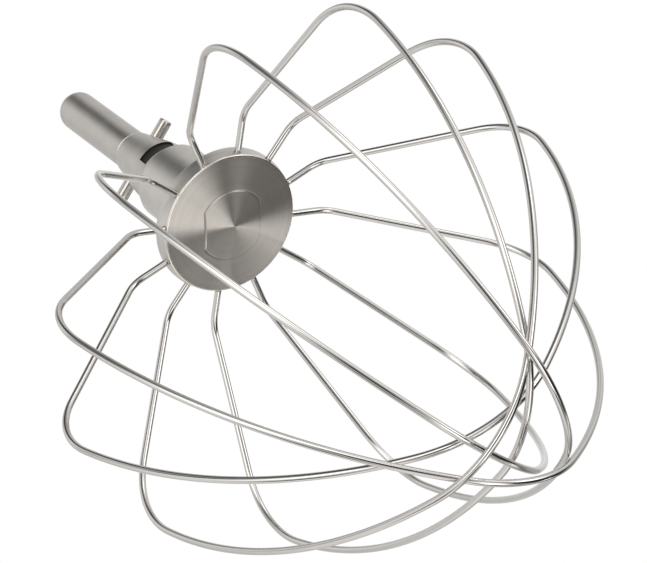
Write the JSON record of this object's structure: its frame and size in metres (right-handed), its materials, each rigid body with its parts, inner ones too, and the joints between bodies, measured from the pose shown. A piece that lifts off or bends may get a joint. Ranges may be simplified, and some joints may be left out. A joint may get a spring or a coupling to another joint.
{
  "type": "stand mixer wire whisk",
  "caption": "Balloon-shaped wire whisk for a stand mixer: crossed steel wire loops set radially into a round flared hub on a drive shaft with a bayonet cross pin.",
  "frame": {"origin": "on the shaft axis, at the height of the cross pin's axis", "axes": "+Z along the drive shaft towards the mixer, so the cage hangs down to -Z; +X along the cross pin"},
  "size_m": [0.1618, 0.1597, 0.2527],
  "materials": {
    "shaft_steel": "satin turned",
    "hub_steel": "satin turned, faced in rings",
    "pin_steel": "ground",
    "wire_steel": "polished"
  },
  "bodies": {
    "root": {"drive_shaft": "shaft_steel", "hub": "hub_steel", "cross_pin": "pin_steel", "wire_loop_1": "wire_steel", "wire_loop_2": "wire_steel", "wire_loop_3": "wire_steel", "wire_loop_4": "wire_steel", "wire_loop_5": "wire_steel", "wire_loop_6": "wire_steel"}
  },
  "joints": []
}
